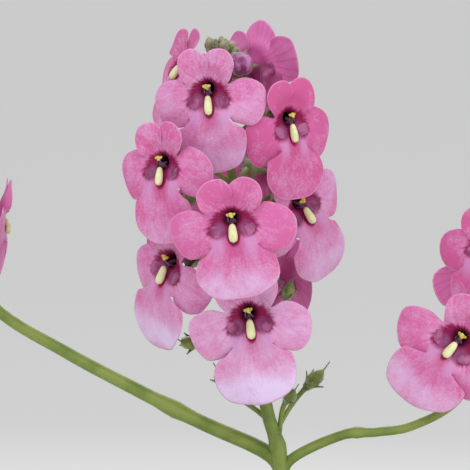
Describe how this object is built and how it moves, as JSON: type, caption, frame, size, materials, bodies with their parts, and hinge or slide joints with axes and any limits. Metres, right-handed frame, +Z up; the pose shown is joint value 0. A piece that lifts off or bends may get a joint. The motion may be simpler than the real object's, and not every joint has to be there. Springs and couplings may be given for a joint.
{
  "type": "potted twinspur",
  "caption": "Bushy flowering plant in a tapered clay pot: thin leafy stems end in spikes of five-lobed blooms with paired spurs behind.",
  "frame": {"origin": "centre of the pot's foot, on the surface it stands on", "axes": "+Z up along the pot's axis; the tallest flower spike faces -Y"},
  "size_m": [0.1532, 0.1549, 0.2884],
  "materials": {
    "petal": "soft matt petal",
    "leaf": "satin leaf and stem",
    "soil": "matt crumbly soil",
    "pot": "unglazed fired clay"
  },
  "bodies": {
    "root": {"stem_main": "leaf", "stem_front_left": "leaf", "stem_front_right": "leaf", "stem_back_right": "leaf", "stem_back_left": "leaf", "stem_back": "leaf", "stem_front": "leaf", "shoot_left": "leaf", "shoot_right": "leaf", "shoot_inner_left": "leaf", "shoot_inner_right": "leaf", "bloom_crown": "petal", "bloom_crown_right": "petal", "bloom_middle": "petal", "bloom_left": "petal", "bloom_right": "petal", "bloom_low_left": "petal", "bloom_low": "petal", "bloom_crown_left": "petal", "bloom_crown_back": "petal", "bloom_back_left": "petal", "bloom_back": "petal", "bloom_back_low": "petal", "bloom_left_1": "petal", "bloom_left_2": "petal", "bloom_left_3": "petal", "bloom_left_4": "petal", "bloom_right_first": "petal", "bloom_right_1": "petal", "bloom_right_2": "petal", "bloom_right_3": "petal", "bloom_front_left_1": "petal", "bloom_front_left_2": "petal", "bloom_front_left_3": "petal", "bloom_front_left_4": "petal", "bloom_front_right_1": "petal", "bloom_front_right_2": "petal", "bloom_front_right_3": "petal", "bloom_front_right_4": "petal", "bloom_back_right_1": "petal", "bloom_back_right_2": "petal", "bloom_back_right_3": "petal", "bloom_back_right_4": "petal", "bloom_back_left_1": "petal", "bloom_back_left_2": "petal", "bloom_back_left_3": "petal", "bloom_back_1": "petal", "bloom_back_2": "petal", "bloom_back_3": "petal", "bloom_front_1": "petal", "bloom_front_2": "petal", "bloom_front_3": "petal", "pot": "pot", "soil": "soil"}
  },
  "joints": []
}
